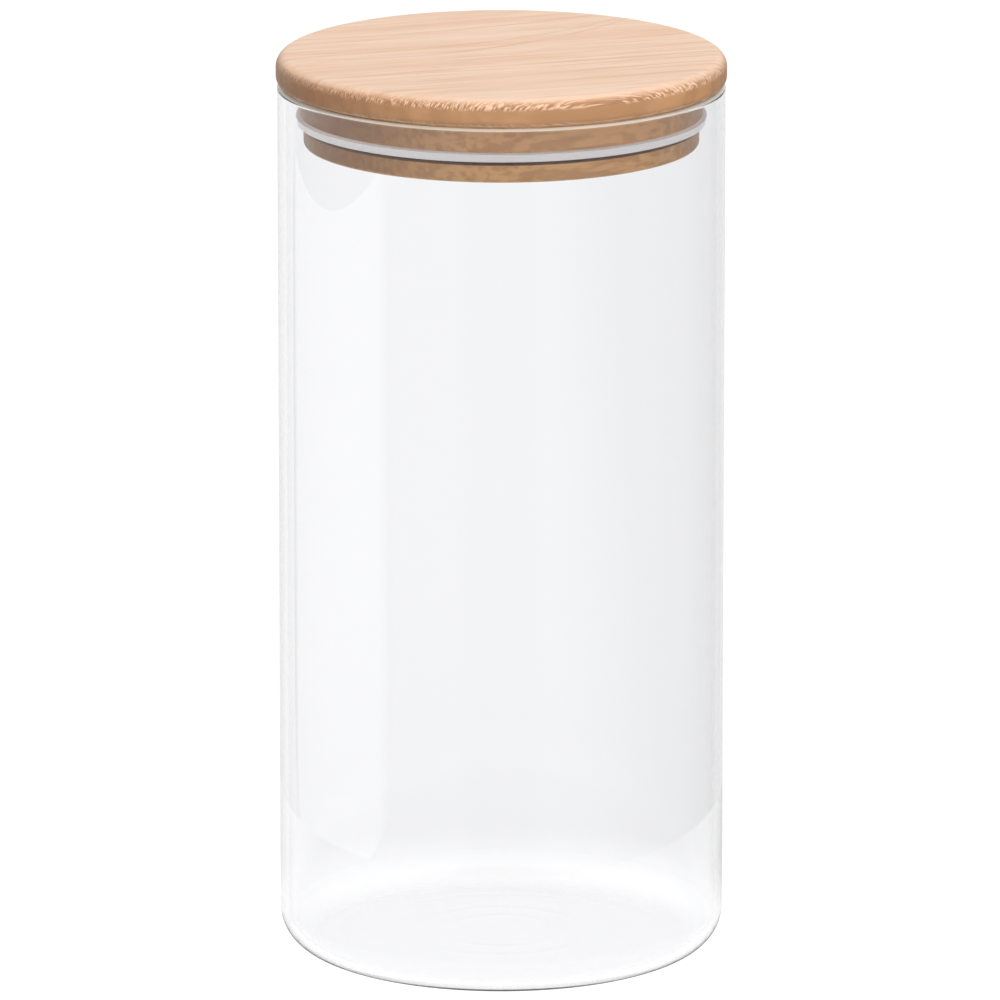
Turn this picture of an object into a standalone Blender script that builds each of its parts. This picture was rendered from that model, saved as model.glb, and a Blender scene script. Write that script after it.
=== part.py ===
"""Food canister: a glass jar closed by a turned bamboo lid that carries a silicone seal.

Units are metres and +Z is up. The origin is on the jar's axis, at the surface that the jar stands on.
Every piece is a turned solid: its outline lies in the X-Z plane, as (radius, height) points, and is
spun round the Z axis.
"""

import math

import bmesh
import bpy

MM = 0.001

# Jar
JAR_RADIUS = 50.0 * MM  # outside of the tube
JAR_HEIGHT = 198.4 * MM  # foot to the top of the rim
JAR_WALL = 2.0 * MM
BASE_THICKNESS = 2.0 * MM
HEEL_RADIUS = 8.5 * MM  # outside bend from the wall to the foot; the inside bend is a wall less
FOOT_WIDTH = 6.0 * MM  # flat ring that the jar stands on
PUSH_UP = 0.6 * MM  # rise of the base inside the foot ring

# Lid
LID_OVERHANG = 0.3 * MM  # how far the plate passes the outside of the tube
PLATE_THICKNESS = 6.3 * MM
PLATE_TOP_EDGE = 2.8 * MM
PLATE_UNDER_EDGE = 1.6 * MM
PLUG_CLEARANCE = 3.1 * MM  # radial room between the plug's upper part and the glass
PLUG_DEPTH = 13.5 * MM  # plate's underside to the plug's end
PLUG_STEP = 0.75 * MM  # the plug's nose is this much smaller in radius
PLUG_EDGE = 1.0 * MM
GROOVE_TOP = 6.5 * MM  # plate's underside to the groove
GROOVE_HEIGHT = 2.8 * MM
GROOVE_DEPTH = 2.5 * MM

# Seal
SEAL_PROUD = 0.6 * MM  # how far the seal's body stands out of the plug's upper part
SEAL_ROOM = 0.75 * MM  # open height left in the groove below the seal's body
LIP_RISE = 5.0 * MM  # groove's top to the lip's tip
LIP_TIP = 0.45 * MM  # thickness at the tip
LIP_ROOT = 0.7 * MM  # thickness where the lip leaves the body

# Fits
FACE_GAP = 0.3 * MM  # between pieces that touch

SEGMENTS = 72  # facets round each piece

# Places that follow from the sizes
jar_inner_radius = JAR_RADIUS - JAR_WALL
foot_outer_radius = JAR_RADIUS - HEEL_RADIUS
foot_inner_radius = foot_outer_radius - FOOT_WIDTH
plate_radius = JAR_RADIUS + LID_OVERHANG
plate_under = JAR_HEIGHT + FACE_GAP
plate_top = plate_under + PLATE_THICKNESS
plug_radius = jar_inner_radius - PLUG_CLEARANCE
nose_radius = plug_radius - PLUG_STEP
plug_end = plate_under - PLUG_DEPTH
groove_top = plate_under - GROOVE_TOP
groove_bottom = groove_top - GROOVE_HEIGHT
groove_radius = plug_radius - GROOVE_DEPTH


def arc(centre, radius, start_degrees, end_degrees, steps):
    """Points on a round edge, from one angle to the other; 0 degrees is outward and 90 is up."""
    points = []
    for step in range(steps + 1):
        angle = math.radians(start_degrees + (end_degrees - start_degrees) * step / steps)
        points.append((centre[0] + radius * math.cos(angle), centre[1] + radius * math.sin(angle)))
    return points


def dome(edge_radius, edge_height, rise, steps):
    """Points of a shallow crown from its edge in to the axis."""
    points = []
    for step in range(steps + 1):
        share = step / steps
        height = edge_height + rise * (1 - math.cos(math.pi * share)) / 2
        points.append((edge_radius * (1 - share), height))
    return points


def material(name, colour, roughness, metallic=0.0, transmission=0.0):
    made = bpy.data.materials.new(name)
    made.use_nodes = True
    shader = made.node_tree.nodes["Principled BSDF"]
    shader.inputs["Base Color"].default_value = (*colour, 1.0)
    shader.inputs["Roughness"].default_value = roughness
    shader.inputs["Metallic"].default_value = metallic
    shader.inputs["Transmission Weight"].default_value = transmission
    return made


def turned(name, outline, closed, finish):
    """A solid of revolution; an open outline starts and ends on the axis."""
    bm = bmesh.new()
    points = [bm.verts.new((radius, 0.0, height)) for radius, height in outline]
    edges = [bm.edges.new(pair) for pair in zip(points, points[1:])]
    if closed:
        edges.append(bm.edges.new((points[-1], points[0])))
    bmesh.ops.spin(
        bm,
        geom=points + edges,
        cent=(0.0, 0.0, 0.0),
        axis=(0.0, 0.0, 1.0),
        angle=2 * math.pi,
        steps=SEGMENTS,
        use_merge=True,
    )
    bmesh.ops.remove_doubles(bm, verts=bm.verts, dist=0.001 * MM)
    bmesh.ops.recalc_face_normals(bm, faces=bm.faces)
    mesh = bpy.data.meshes.new(name)
    bm.to_mesh(mesh)
    bm.free()
    mesh.shade_smooth()
    mesh.set_sharp_from_angle(angle=math.radians(35))
    mesh.materials.append(finish)
    made = bpy.data.objects.new(name, mesh)
    bpy.context.scene.collection.objects.link(made)
    return made


def glass_jar():
    """A length of tube with one end closed to a foot and the other melted to a round rim."""
    rim = JAR_WALL / 2
    under = dome(foot_inner_radius, 0.0, PUSH_UP, 4)[::-1]
    heel = arc((foot_outer_radius, HEEL_RADIUS), HEEL_RADIUS, -90, 0, 7)
    lip = arc((JAR_RADIUS - rim, JAR_HEIGHT - rim), rim, 0, 180, 6)
    bend = HEEL_RADIUS - JAR_WALL
    inner_heel = arc((jar_inner_radius - bend, BASE_THICKNESS + bend), bend, 0, -90, 7)
    floor = dome(foot_inner_radius, BASE_THICKNESS, PUSH_UP, 4)
    outline = under + heel + lip + inner_heel + floor
    clear_glass = material("clear_glass", (0.95, 0.97, 0.97), 0.02, transmission=1.0)
    return turned("glass_jar", outline, False, clear_glass)


def bamboo_lid():
    """A plate that covers the rim, and a plug below it with a groove for the seal."""
    top = arc((plate_radius - PLATE_TOP_EDGE, plate_top - PLATE_TOP_EDGE), PLATE_TOP_EDGE, 90, 0, 6)
    under = arc(
        (plate_radius - PLATE_UNDER_EDGE, plate_under + PLATE_UNDER_EDGE), PLATE_UNDER_EDGE, 0, -90, 3
    )
    groove = [
        (plug_radius, groove_top),
        (groove_radius, groove_top),
        (groove_radius, groove_bottom),
        (nose_radius, groove_bottom),
    ]
    nose = arc((nose_radius - PLUG_EDGE, plug_end + PLUG_EDGE), PLUG_EDGE, 0, -90, 3)
    outline = [(0.0, plate_top)] + top + under + [(plug_radius, plate_under)] + groove + nose
    outline.append((0.0, plug_end))
    return turned("bamboo_lid", outline, False, material("bamboo", (0.72, 0.50, 0.33), 0.45))


def silicone_seal():
    """A ring with its body in the groove and one lip that flares up and out to the glass."""
    body_inner = groove_radius + FACE_GAP
    body_top = groove_top - FACE_GAP
    body_bottom = groove_bottom + SEAL_ROOM
    body_outer = plug_radius + SEAL_PROUD
    lip_outer = jar_inner_radius - FACE_GAP
    lip_top = groove_top + LIP_RISE
    outline = [
        (body_inner, body_bottom),
        (body_inner, body_top),
        (body_outer - LIP_ROOT / 2, body_top),
        (lip_outer - LIP_TIP, lip_top),
        (lip_outer, lip_top - LIP_TIP / 2),
        (body_outer + LIP_ROOT / 2, body_top - LIP_ROOT / 2),
        (body_outer, body_top - LIP_ROOT),
        (body_outer, body_bottom + LIP_ROOT / 2),
        (body_outer - LIP_ROOT / 2, body_bottom),
    ]
    return turned("silicone_seal", outline, True, material("silicone", (0.78, 0.76, 0.73), 0.35))


for leftover in list(bpy.data.objects):
    bpy.data.objects.remove(leftover, do_unlink=True)

glass_jar()
bamboo_lid()
silicone_seal()
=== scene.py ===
import math

import bmesh
import bpy
from mathutils import Matrix, Vector


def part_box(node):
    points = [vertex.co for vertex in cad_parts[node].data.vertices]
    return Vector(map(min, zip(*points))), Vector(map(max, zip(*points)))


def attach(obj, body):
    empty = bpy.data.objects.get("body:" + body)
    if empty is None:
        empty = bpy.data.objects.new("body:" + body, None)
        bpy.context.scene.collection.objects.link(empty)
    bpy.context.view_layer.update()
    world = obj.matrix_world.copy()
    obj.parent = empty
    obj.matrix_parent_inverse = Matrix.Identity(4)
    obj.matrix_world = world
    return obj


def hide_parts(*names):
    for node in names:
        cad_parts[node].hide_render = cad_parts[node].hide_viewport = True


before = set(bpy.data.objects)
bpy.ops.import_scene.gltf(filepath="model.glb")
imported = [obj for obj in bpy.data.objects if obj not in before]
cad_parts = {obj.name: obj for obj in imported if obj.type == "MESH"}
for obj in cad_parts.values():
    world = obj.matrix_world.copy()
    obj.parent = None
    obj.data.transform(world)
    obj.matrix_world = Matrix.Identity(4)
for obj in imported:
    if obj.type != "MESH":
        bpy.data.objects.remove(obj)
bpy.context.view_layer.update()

MM = 0.001

# ---------------------------------------------------------------------------------------------
# Jar: a length of clear borosilicate tube, 2 mm thick. One end is worked to a rounded heel and a
# base of the same thickness that rises a little in the middle; the other is cut, ground and
# melted smooth, so that the round rim stays a little milky.

jar_low, jar_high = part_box("glass_jar")
jar_radius = (jar_high.x - jar_low.x) / 2
jar_top = jar_high.z
wall = 2.0 * MM
jar_inner = jar_radius - wall
rim_round = wall * 0.48
rim_start = jar_top - 1.1 * MM
fired_depth = 0.52 * MM
heel = 8.5 * MM
heel_top = heel + 0.5 * MM
base_glass = 2.0 * MM
push_up = 0.6 * MM
foot_flat = jar_radius - 12 * MM
foot_inner = jar_radius - heel - 6.0 * MM
foot_round = 4 * MM
dish = foot_inner * 0.45
ROUND_STEPS = 288


def turned(name, corners, closed=False):
    """Spins an outline of (radius, height, rounding, steps) corners into one closed solid."""
    bm = bmesh.new()
    points = [bm.verts.new((radius, 0, height)) for radius, height, _, _ in corners]
    for a, b in zip(points, points[1:]):
        bm.edges.new((a, b))
    if closed:
        bm.edges.new((points[-1], points[0]))
    for point, (_, _, rounding, steps) in zip(points, corners):
        if rounding:
            bmesh.ops.bevel(bm, geom=[point], offset=rounding, offset_type="OFFSET",
                            affect="VERTICES", segments=steps, profile=0.5, material=-1)
    bmesh.ops.spin(bm, geom=bm.verts[:] + bm.edges[:], cent=(0, 0, 0), axis=(0, 0, 1),
                   angle=math.tau, steps=ROUND_STEPS, use_merge=True)
    bmesh.ops.remove_doubles(bm, verts=bm.verts, dist=0.0005 * MM)
    bmesh.ops.recalc_face_normals(bm, faces=bm.faces)
    mesh = bpy.data.meshes.new(name)
    bm.to_mesh(mesh)
    bm.free()
    mesh.shade_smooth()
    piece = bpy.data.objects.new(name, mesh)
    bpy.context.scene.collection.objects.link(piece)
    return piece


jar = turned("jar_tube", [
    (0, push_up, 0, 0),
    (dish, push_up, foot_round, 6),
    (foot_inner, 0, foot_round, 6),
    (foot_flat, 0, 0, 0),
    (jar_radius, 0, heel, 24),
    (jar_radius, heel_top, 0, 0),
    (jar_radius, rim_start, 0, 0),
    (jar_radius, jar_top, rim_round, 10),
    (jar_inner, jar_top, rim_round, 10),
    (jar_inner, rim_start, 0, 0),
    (jar_inner, heel_top, 0, 0),
    (jar_inner, base_glass, heel - wall, 24),
    (foot_inner, base_glass, foot_round, 6),
    (dish, base_glass + push_up, foot_round, 6),
    (0, base_glass + push_up, 0, 0),
])


def new_material(name):
    """A material, its node tree and its Principled BSDF."""
    made = bpy.data.materials.new(name)
    made.use_nodes = True
    return made, made.node_tree, made.node_tree.nodes["Principled BSDF"]


def add(tree, kind, values=None, **settings):
    """A node with its settings, and its sockets' values by name or number."""
    made = tree.nodes.new("ShaderNode" + kind)
    for key, value in settings.items():
        setattr(made, key, value)
    for key, value in (values or {}).items():
        if isinstance(value, bpy.types.NodeSocket):
            tree.links.new(value, made.inputs[key])
        else:
            made.inputs[key].default_value = value
    return made


def finish_with(shader, **values):
    """Sets sockets of a shader that are the same all over the surface."""
    for name, value in values.items():
        shader.inputs[name.replace("_", " ")].default_value = value


glass, tree, shader = new_material("clear_borosilicate")
finish_with(shader, Base_Color=(0.934, 0.935, 0.943, 1), Roughness=0.0, IOR=1.47, Transmission_Weight=1.0)
place = add(tree, "TexCoord")
level = add(tree, "SeparateXYZ", {0: place.outputs["Object"]})
# faint lines up the wall, left by drawing the tube
drawn = add(tree, "Mapping", {"Vector": place.outputs["Object"], "Scale": (90, 90, 6)})
streaks = add(tree, "TexNoise", {"Vector": drawn.outputs[0], "Scale": 1.0, "Detail": 1.0})
on_wall = add(tree, "MapRange", {"Value": level.outputs[2], "From Min": 10 * MM, "From Max": 30 * MM},
              interpolation_type="SMOOTHSTEP")
draw_lines = add(tree, "Math", {0: streaks.outputs[0], 1: on_wall.outputs[0]}, operation="MULTIPLY")
ripple = add(tree, "Bump", {"Strength": 0.02, "Distance": 0.0004, "Height": draw_lines.outputs[0]})
tree.links.new(ripple.outputs[0], shader.inputs["Normal"])
jar.data.materials.append(glass)

# painted glow: the milky rim's faint warm emission stands in for light carried up the glass wall to the rim,
# in the shade under the lid
fired, tree, shader = new_material("fired_rim_painted_glow")
finish_with(shader, Base_Color=(0.68, 0.61, 0.52, 1), IOR=1.47, Transmission_Weight=0.45,
            Emission_Color=(1.0, 0.94, 0.87, 1), Emission_Strength=0.08)
place = add(tree, "TexCoord")
ground = add(tree, "TexNoise", {"Vector": place.outputs["Object"], "Scale": 2200, "Detail": 2.0})
milky = add(tree, "MapRange", {"Value": ground.outputs[0], "To Min": 0.28, "To Max": 0.42})
tree.links.new(milky.outputs[0], shader.inputs["Roughness"])
grit = add(tree, "Bump", {"Strength": 0.03, "Distance": 0.00002, "Height": ground.outputs[0]})
tree.links.new(grit.outputs[0], shader.inputs["Normal"])
jar.data.materials.append(fired)
# the top band of faces takes the milky rim finish with its painted glow
for face in jar.data.polygons:
    face.material_index = int(face.center.z > jar_top - fired_depth)
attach(jar, "jar")
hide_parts("glass_jar")

# ---------------------------------------------------------------------------------------------
# Lid: one disc turned from a glued-up bamboo board. The plate has a wide round on top and
# a smaller one below; the plug under it has a groove for the seal. Sanded fine and lightly oiled.

FACE_GAP = 0.3 * MM  # between pieces that touch
lid_low, lid_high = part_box("bamboo_lid")
plate_radius = (lid_high.x - lid_low.x) / 2
plate_under = jar_top + FACE_GAP
plug_radius = jar_inner - 3.1 * MM
nose_radius = plug_radius - 0.75 * MM
groove_top = plate_under - 6.5 * MM
groove_low = groove_top - 2.8 * MM
groove_radius = plug_radius - 2.5 * MM

lid = turned("lid_board", [
    (0, lid_high.z, 0, 0),
    (plate_radius - 6 * MM, lid_high.z, 0, 0),
    (plate_radius, lid_high.z, 2.75 * MM, 14),
    (plate_radius, plate_under, 1.55 * MM, 8),
    (plug_radius, plate_under, 0.5 * MM, 4),
    (plug_radius, groove_top, 0.25 * MM, 3),
    (groove_radius, groove_top, 0.2 * MM, 2),
    (groove_radius, groove_low, 0.2 * MM, 2),
    (nose_radius, groove_low, 0.35 * MM, 3),
    (nose_radius, lid_low.z, 1.0 * MM, 6),
    (nose_radius - 3 * MM, lid_low.z, 0, 0),
    (0, lid_low.z, 0, 0),
])

bamboo, tree, shader = new_material("oiled_bamboo")
GRAIN_TURN = math.radians(18.7)  # way of the growth lines
STRIP_TURN = math.radians(26)  # way of the fibre bundles that show as flecks at the edge
place = add(tree, "TexCoord")
along = add(tree, "Mapping", {"Vector": place.outputs["Object"], "Rotation": (0, 0, -GRAIN_TURN)}).outputs[0]
strips = add(tree, "Mapping", {"Vector": place.outputs["Object"], "Rotation": (0, 0, -STRIP_TURN)}).outputs[0]


def stretched(vector, scale, **values):
    """Noise with so many grains to the metre along the grain, across it and through the board."""
    grain = add(tree, "Mapping", {"Vector": vector, "Scale": scale})
    return add(tree, "TexNoise", {"Vector": grain.outputs[0], "Scale": 1.0, **values}).outputs[0]


def maths(operation, a, b=0.0, c=0.0):
    """One sum on up to three values or sockets."""
    return add(tree, "Math", {0: a, 1: b, 2: c}, operation=operation).outputs[0]


def ramp(value, low, high, bottom=0.0, top=1.0):
    """A smooth step: bottom where the value is low, top where it is high."""
    return add(tree, "MapRange", {"Value": value, "From Min": low, "From Max": high, "To Min": bottom,
                                  "To Max": top}, interpolation_type="SMOOTHSTEP").outputs[0]


def mixed(factor, a, b):
    """Colour a where the factor is 0, b where it is 1."""
    made = add(tree, "Mix", data_type="RGBA")
    for socket, value in zip((made.inputs[0], made.inputs[6], made.inputs[7]), (factor, a, b)):
        if isinstance(value, bpy.types.NodeSocket):
            tree.links.new(value, socket)
        else:
            socket.default_value = value
    return made.outputs[2]


def shift_across(vector, noise, reach):
    """Moves a pattern across the grain by up to reach, where the noise is 0 or 1."""
    drift = add(tree, "CombineXYZ", {1: maths("MULTIPLY_ADD", noise, 2 * reach, -reach)})
    return add(tree, "VectorMath", {0: vector, 1: drift.outputs[0]}, operation="ADD").outputs[0]


warped = shift_across(along, stretched(along, (14, 30, 30), Detail=1.0), 1.5 * MM)
warped = shift_across(warped, stretched(along, (110, 500, 400), Detail=2.0), 0.45 * MM)
spot = add(tree, "SeparateXYZ", {0: warped})
patchy = ramp(stretched(along, (45, 160, 100), Detail=2.0), 0.30, 0.60, 0.35, 1.0)


def growth_line(across, middle, bend, width):
    """A late-growth line: where it crosses the board, and how it arches away from its middle."""
    arch = maths("MULTIPLY", maths("POWER", maths("SUBTRACT", spot.outputs[0], middle), 2.0), bend)
    away = maths("SUBTRACT", maths("SUBTRACT", spot.outputs[1], across), arch)
    return maths("MULTIPLY", ramp(maths("ABSOLUTE", away), width, 0.0), patchy)


# dark lines of late growth, and a pearly one beside the straight one
late = growth_line(-12.9 * MM, 0, 0, 1.3 * MM)
for line in ((-31.5 * MM, -5 * MM, 0.4, 1.4 * MM), (-22.5 * MM, 0, 0.3, 0.7 * MM),
             (-16.3 * MM, 30 * MM, 0.6, 0.6 * MM), (3.7 * MM, -20 * MM, 6.6, 1.0 * MM),
             (10.5 * MM, -20 * MM, 5.3, 0.7 * MM), (27 * MM, -20 * MM, 2.0, 0.8 * MM)):
    late = maths("MAXIMUM", late, growth_line(*line))
early = growth_line(-10.9 * MM, 0, 0, 1.1 * MM)
bands = stretched(warped, (6, 150, 90), Detail=3.0)
fibres = stretched(warped, (38, 1150, 700), Detail=2.0)
bundles = stretched(strips, (60, 4200, 1000), Detail=1.0)
soft = stretched(warped, (25, 330, 160), Detail=2.0)

# the side of the disc cuts the fibres, so it is darker, and ragged where it meets the face;
# on the rounding of the top edge the cut bundles show one by one, as flecks
toward = add(tree, "SeparateXYZ", {0: place.outputs["Normal"]})
lean = maths("ABSOLUTE", toward.outputs[2])
shoulder = maths("MULTIPLY", ramp(toward.outputs[2], 0.02, 0.32), ramp(toward.outputs[2], 0.998, 0.93))
ragged = maths("MULTIPLY_ADD", maths("SUBTRACT", bundles, 0.5), 1.2, lean)
ragged = maths("MULTIPLY_ADD", shoulder, -0.09, ragged)
side = ramp(ragged, 0.96, 0.44)

pale = (0.705, 0.495, 0.360, 1)
warm = (0.662, 0.440, 0.302, 1)
late_brown = (0.560, 0.335, 0.210, 1)
pearl = (0.760, 0.560, 0.430, 1)
rim_brown = (0.485, 0.258, 0.120, 1)
rim_dark = (0.418, 0.214, 0.098, 1)
fleck = (0.340, 0.158, 0.072, 1)
# painted light: the plug's two mottle tones are made lighter to make up for the plate's shade over the plug
plug_tan_painted_light = (0.960, 0.535, 0.225, 1)
plug_brown_painted_light = (0.740, 0.380, 0.150, 1)
straw = (0.700, 0.455, 0.310, 1)
oiled_end = (0.200, 0.085, 0.038, 1)
# painted shade for the groove's up-facing wall, which the seal keeps from the light
groove_painted_shade = (0.060, 0.028, 0.014, 1)
face = mixed(ramp(bands, 0.35, 0.65), pale, warm)
face = mixed(maths("MULTIPLY", ramp(fibres, 0.50, 0.72), 0.34), face, late_brown)
face = mixed(maths("MULTIPLY", ramp(fibres, 0.46, 0.30), 0.35), face, pearl)
face = mixed(maths("MULTIPLY", late, 0.75), face, late_brown)
face = mixed(maths("MULTIPLY", early, 0.30), face, pearl)
end = mixed(ramp(soft, 0.35, 0.65), rim_brown, rim_dark)
end = mixed(maths("MULTIPLY", shoulder, ramp(bundles, 0.50, 0.60)), end, fleck)
end = mixed(maths("MULTIPLY", shoulder, ramp(bundles, 0.50, 0.40)), end, straw)
colour = mixed(side, face, end)

# the plug is browner and mottled, and painted lighter to make up for the light that the plate above shades
# off it; its groove gets painted shade; fibres seen end on look darker everywhere
mottle = stretched(strips, (120, 700, 620), Detail=4.0)
board_height = add(tree, "SeparateXYZ", {0: along}).outputs[2]
below = ramp(board_height, plate_under + 0.3 * MM, plate_under - 0.3 * MM)
facing = add(tree, "Mapping", {"Vector": place.outputs["Normal"], "Rotation": (0, 0, -GRAIN_TURN)})
end_on = maths("ABSOLUTE", add(tree, "SeparateXYZ", {0: facing.outputs[0]}).outputs[0])
plug_mottle_painted_light = mixed(ramp(mottle, 0.42, 0.60), plug_tan_painted_light, plug_brown_painted_light)
plug_mottle_painted_light = mixed(ramp(end_on, 0.30, 0.95, 0.0, 0.48), plug_mottle_painted_light, oiled_end)
colour = mixed(maths("MULTIPLY", below, 0.80), colour, plug_mottle_painted_light)
# painted shade: darkens the up-facing faces below the plate, in the groove under the seal
groove_shade_mask = maths("MULTIPLY", below, ramp(toward.outputs[2], 0.2, 0.6))
colour = mixed(maths("MULTIPLY", groove_shade_mask, 0.85), colour, groove_painted_shade)
colour = mixed(ramp(end_on, 0.60, 1.0, 0.0, 0.48), colour, oiled_end)

tree.links.new(colour, shader.inputs["Base Color"])
tree.links.new(ramp(fibres, 0.3, 0.7, 0.42, 0.56), shader.inputs["Roughness"])
finish_with(shader, IOR=1.48)
height = maths("MULTIPLY_ADD", bundles, maths("MULTIPLY", shoulder, 0.35), maths("MULTIPLY", fibres, 0.7))
relief = add(tree, "Bump", {"Strength": 0.30, "Distance": 0.0001, "Height": height})
tree.links.new(relief.outputs[0], shader.inputs["Normal"])
lid.data.materials.append(bamboo)
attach(lid, "lid")
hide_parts("bamboo_lid")

# ---------------------------------------------------------------------------------------------
# Seal: one moulded ring of translucent food-grade silicone. Its body is stretched into the plug's
# groove, and a thin lip flares up and out to the glass.

ring_inner = groove_radius + FACE_GAP
ring_top = groove_top - 0.06 * MM
ring_low = groove_low + 0.75 * MM
ring_outer = plug_radius + 0.6 * MM
lip_outer = jar_inner - FACE_GAP
lip_top = groove_top + 5.0 * MM
seal = turned("seal_ring", [
    (ring_inner, ring_low, 0.2 * MM, 3),
    (ring_inner, ring_top, 0.2 * MM, 3),
    (ring_outer - 0.35 * MM, ring_top, 0.2 * MM, 3),
    (lip_outer - 0.45 * MM, lip_top, 0.18 * MM, 3),
    (lip_outer, lip_top - 0.2 * MM, 0.15 * MM, 3),
    (ring_outer + 0.35 * MM, ring_top - 0.10 * MM, 0.25 * MM, 3),
    (ring_outer, ring_top - 0.45 * MM, 0.2 * MM, 3),
    (ring_outer, ring_low, 0.4 * MM, 4),
], closed=True)
# painted glow: a faint emission keeps the seal bright in the shade under the plate
silicone, tree, shader = new_material("milky_silicone_painted_glow")
finish_with(shader, IOR=1.41, Transmission_Weight=0.10, Emission_Color=(1.0, 0.98, 0.98, 1),
            Emission_Strength=0.11)
place = add(tree, "TexCoord")
level = add(tree, "SeparateXYZ", {0: place.outputs["Object"]})
# the thin lip is all but clear
thin = ramp(level.outputs[2], ring_top - 0.35 * MM, ring_top + 0.05 * MM, 1.0, 0.02)
tree.links.new(thin, shader.inputs["Alpha"])
cloud = stretched(place.outputs["Object"], (140, 140, 500), Detail=3.0)
tree.links.new(mixed(cloud, (0.97, 0.955, 0.955, 1), (0.92, 0.90, 0.90, 1)), shader.inputs["Base Color"])
tree.links.new(ramp(cloud, 0.3, 0.7, 0.32, 0.46), shader.inputs["Roughness"])
skin = add(tree, "Bump", {"Strength": 0.15, "Distance": 0.00005,
                          "Height": stretched(place.outputs["Object"], (1500, 1500, 1500), Detail=2.0)})
tree.links.new(skin.outputs[0], shader.inputs["Normal"])
seal.data.materials.append(silicone)
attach(seal, "seal")
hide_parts("silicone_seal")

# ---------------------------------------------------------------------------------------------
# Studio: a pale floor, a soft white dome that is brightest in front, a wide lamp in front on the
# right, and a white card on the left that only shows as a reflection.

paper, tree, shader = new_material("pale_floor")
finish_with(shader, Base_Color=(0.15, 0.15, 0.15, 1), Roughness=0.9, Specular_IOR_Level=0.0,
            Emission_Color=(1, 1, 1, 1))
place = add(tree, "TexCoord")
reach = add(tree, "VectorMath", {0: place.outputs["Object"]}, operation="LENGTH")
# a painted pool of light under the jar; and a painted darkening of the floor where the glass reflects it,
# most in front and on the right
painted_light_pool = ramp(reach.outputs["Value"], 0.10, 0.05)
bright = maths("MULTIPLY_ADD", painted_light_pool, 0.20, 0.895)
path = add(tree, "LightPath")
floor_at = add(tree, "SeparateXYZ", {0: place.outputs["Object"]})
mirrored = maths("MULTIPLY", path.outputs["Is Glossy Ray"],
                 maths("SUBTRACT", 1.0, path.outputs["Is Transmission Ray"]))
dimming = maths("MINIMUM", ramp(floor_at.outputs[1], 0.0, 0.04, -0.60, -0.08),
                ramp(floor_at.outputs[0], -0.02, 0.06, 0.0, -0.32))
bright = maths("MULTIPLY", bright, maths("MULTIPLY_ADD", mirrored, dimming, 1.0))
# a little shade on the right, seen through the glass
shade = ramp(floor_at.outputs[0], 0.012, 0.050, 0.0, 0.055)
shade = maths("MULTIPLY", maths("MULTIPLY", shade, path.outputs["Is Transmission Ray"]),
              maths("SUBTRACT", 1.0, painted_light_pool))
tree.links.new(maths("SUBTRACT", bright, shade), shader.inputs["Emission Strength"])

NEAR_FLOOR = 0.15
FAR_FLOOR = 3.0
FLOOR_DROP = 0.02 * MM  # just below the foot
for name, inner, outer in (("floor_near", 0.0, NEAR_FLOOR), ("floor_far", NEAR_FLOOR, FAR_FLOOR)):
    bm = bmesh.new()
    if inner:
        bmesh.ops.create_circle(bm, radius=inner, segments=96)
        spread = bmesh.ops.extrude_edge_only(bm, edges=bm.edges[:])["geom"]
        moved = [v for v in spread if isinstance(v, bmesh.types.BMVert)]
        bmesh.ops.scale(bm, vec=(outer / inner, outer / inner, 1), verts=moved)
    else:
        bmesh.ops.create_circle(bm, cap_ends=True, radius=outer, segments=96)
    bmesh.ops.recalc_face_normals(bm, faces=bm.faces)
    mesh = bpy.data.meshes.new(name)
    bm.to_mesh(mesh)
    bm.free()
    mesh.materials.append(paper)
    surface = bpy.data.objects.new(name, mesh)
    surface.location.z = -FLOOR_DROP
    surface.visible_glossy = not inner
    surface.visible_diffuse = not inner
    bpy.context.scene.collection.objects.link(surface)

CARD_LENGTH = 0.46
CARD_HEIGHT = 0.170
CARD_CORNER = 0.03
CARD_LEAN = -1.5
CARD_PLACE = (-0.30, 0.015, 0.032)
card_mesh = bpy.data.meshes.new("card")
bm = bmesh.new()
bmesh.ops.create_grid(bm, x_segments=1, y_segments=1, size=0.5)
bmesh.ops.scale(bm, vec=(CARD_LENGTH, CARD_HEIGHT, 1), verts=bm.verts)
bmesh.ops.bevel(bm, geom=bm.verts[:], offset=CARD_CORNER, affect="VERTICES", segments=8, profile=0.5,
                material=-1)
for degrees, axis in ((90, "X"), (90, "Z"), (CARD_LEAN, "X")):
    bmesh.ops.rotate(bm, cent=(0, 0, 0), matrix=Matrix.Rotation(math.radians(degrees), 3, axis),
                     verts=bm.verts)
bmesh.ops.translate(bm, vec=CARD_PLACE, verts=bm.verts)
bm.to_mesh(card_mesh)
bm.free()
card = bpy.data.objects.new("card", card_mesh)
bpy.context.scene.collection.objects.link(card)
card.visible_camera = False
card.visible_diffuse = False
card.visible_shadow = False
card.visible_transmission = False
glow, tree, shader = new_material("card_glow")
finish_with(shader, Base_Color=(0, 0, 0, 1), Emission_Color=(1, 1, 1, 1))
# brightest towards the front, and soft at both ends
depth = add(tree, "SeparateXYZ", {0: add(tree, "TexCoord").outputs["Object"]}).outputs[1]
ends = maths("MULTIPLY", ramp(depth, -0.215, -0.150), ramp(depth, 0.25, 0.19))
glare = maths("MULTIPLY", ends, ramp(depth, -0.10, 0.20, 1.35, 0.85))
tree.links.new(glare, shader.inputs["Emission Strength"])
card_mesh.materials.append(glow)

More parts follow.
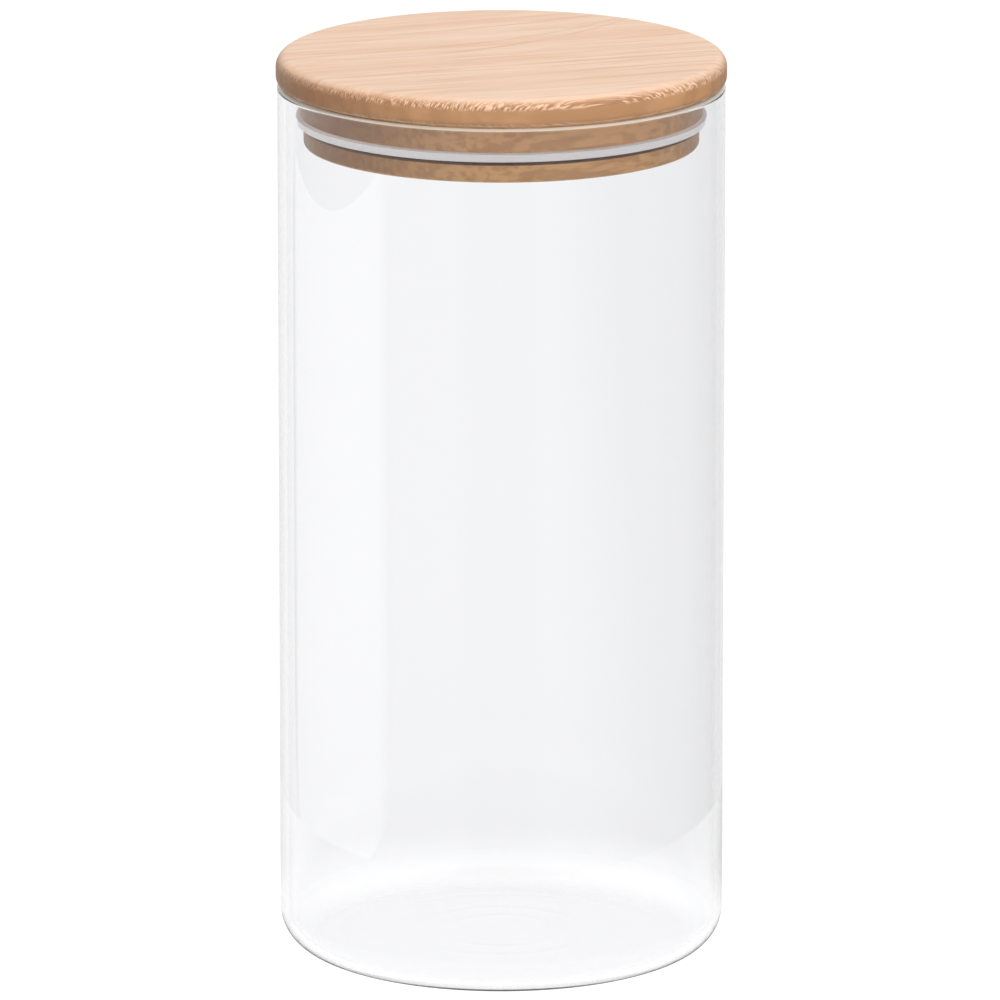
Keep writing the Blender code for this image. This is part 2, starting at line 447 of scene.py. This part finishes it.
world = bpy.data.worlds.new("studio")
bpy.context.scene.world = world
world.use_nodes = True
tree = world.node_tree
sky = tree.nodes["Background"]
sky.inputs["Color"].default_value = (1, 1, 1, 1)
path = add(tree, "LightPath")
way = add(tree, "TexCoord")
heading = add(tree, "SeparateXYZ", {0: way.outputs["Generated"]})
rise = add(tree, "MapRange", {"Value": heading.outputs[2], "From Min": -0.4, "From Max": 1.0,
                              "To Min": 0.37, "To Max": 1.43}).outputs[0]
sideways = maths("MULTIPLY_ADD", heading.outputs[0], 0.30, 1.0)
dome = maths("MULTIPLY", rise, maths("MULTIPLY_ADD", heading.outputs[1], -0.85, sideways))
dome = maths("MULTIPLY", dome, ramp(heading.outputs[0], -0.95, -0.40, 0.75, 1.0))
azimuth = maths("ARCTAN2", heading.outputs[0], maths("MULTIPLY", heading.outputs[1], -1.0))
turn = add(tree, "MapRange", {"Value": azimuth, "From Min": -math.pi, "From Max": math.pi})
walls = add(tree, "ValToRGB", {0: turn.outputs[0]})
# the tone of the walls that the glass reflects, by degrees from the front
stops = [(-180, 0.97), (-150, 0.88), (-136, 0.70), (-128, 0.25), (-22, 0.32), (-15, 0.03), (15, 0.03),
         (22, 0.30), (50, 0.20), (75, 0.03), (124, 0.02), (133, 0.13), (140, 0.22), (147, 0.50),
         (154, 0.65), (162, 0.90), (180, 0.97)]
while len(walls.color_ramp.elements) < len(stops):
    walls.color_ramp.elements.new(0.5)
for element, (degrees, tone) in zip(walls.color_ramp.elements, stops):
    element.position = (degrees + 180) / 360
    element.color = (tone, tone, tone, 1)
above = ramp(heading.outputs[2], -0.10, 0.05)
gloss = add(tree, "Mix", {0: above, 2: walls.outputs[0], 3: 1.0})
seen = add(tree, "Mix", {0: path.outputs["Is Glossy Ray"], 2: dome, 3: gloss.outputs[0]})
clear = maths("MAXIMUM", path.outputs["Is Camera Ray"], path.outputs["Is Transmission Ray"])
final = add(tree, "Mix", {0: clear, 2: seen.outputs[0], 3: 1.0})
tree.links.new(final.outputs[0], sky.inputs["Strength"])

lamp_data = bpy.data.lights.new("key", "AREA")
lamp_data.shape = "DISK"
lamp_data.size = 1.2
lamp_data.energy = 4
lamp = bpy.data.objects.new("key", lamp_data)
lamp.location = (0.45, -1.0, 1.1)
lamp.rotation_euler = (Vector((0, 0, 0.15)) - lamp.location).to_track_quat("-Z", "Y").to_euler()
lamp.visible_glossy = False
lamp.visible_transmission = False
bpy.context.scene.collection.objects.link(lamp)

camera_data = bpy.data.cameras.new("camera")
camera_data.lens = 432.45
camera_data.clip_end = 20
camera = bpy.data.objects.new("camera", camera_data)
LOOK_DOWN = 0.24374
DISTANCE = 2.7
aim = Vector((-0.3 * MM, 0, lid_high.z / 2))
camera.location = aim + DISTANCE * Vector((0, -math.cos(LOOK_DOWN), math.sin(LOOK_DOWN)))
camera.rotation_euler = (aim - camera.location).to_track_quat("-Z", "Y").to_euler()
bpy.context.scene.collection.objects.link(camera)
bpy.context.scene.camera = camera
bpy.context.scene.view_settings.view_transform = "Standard"
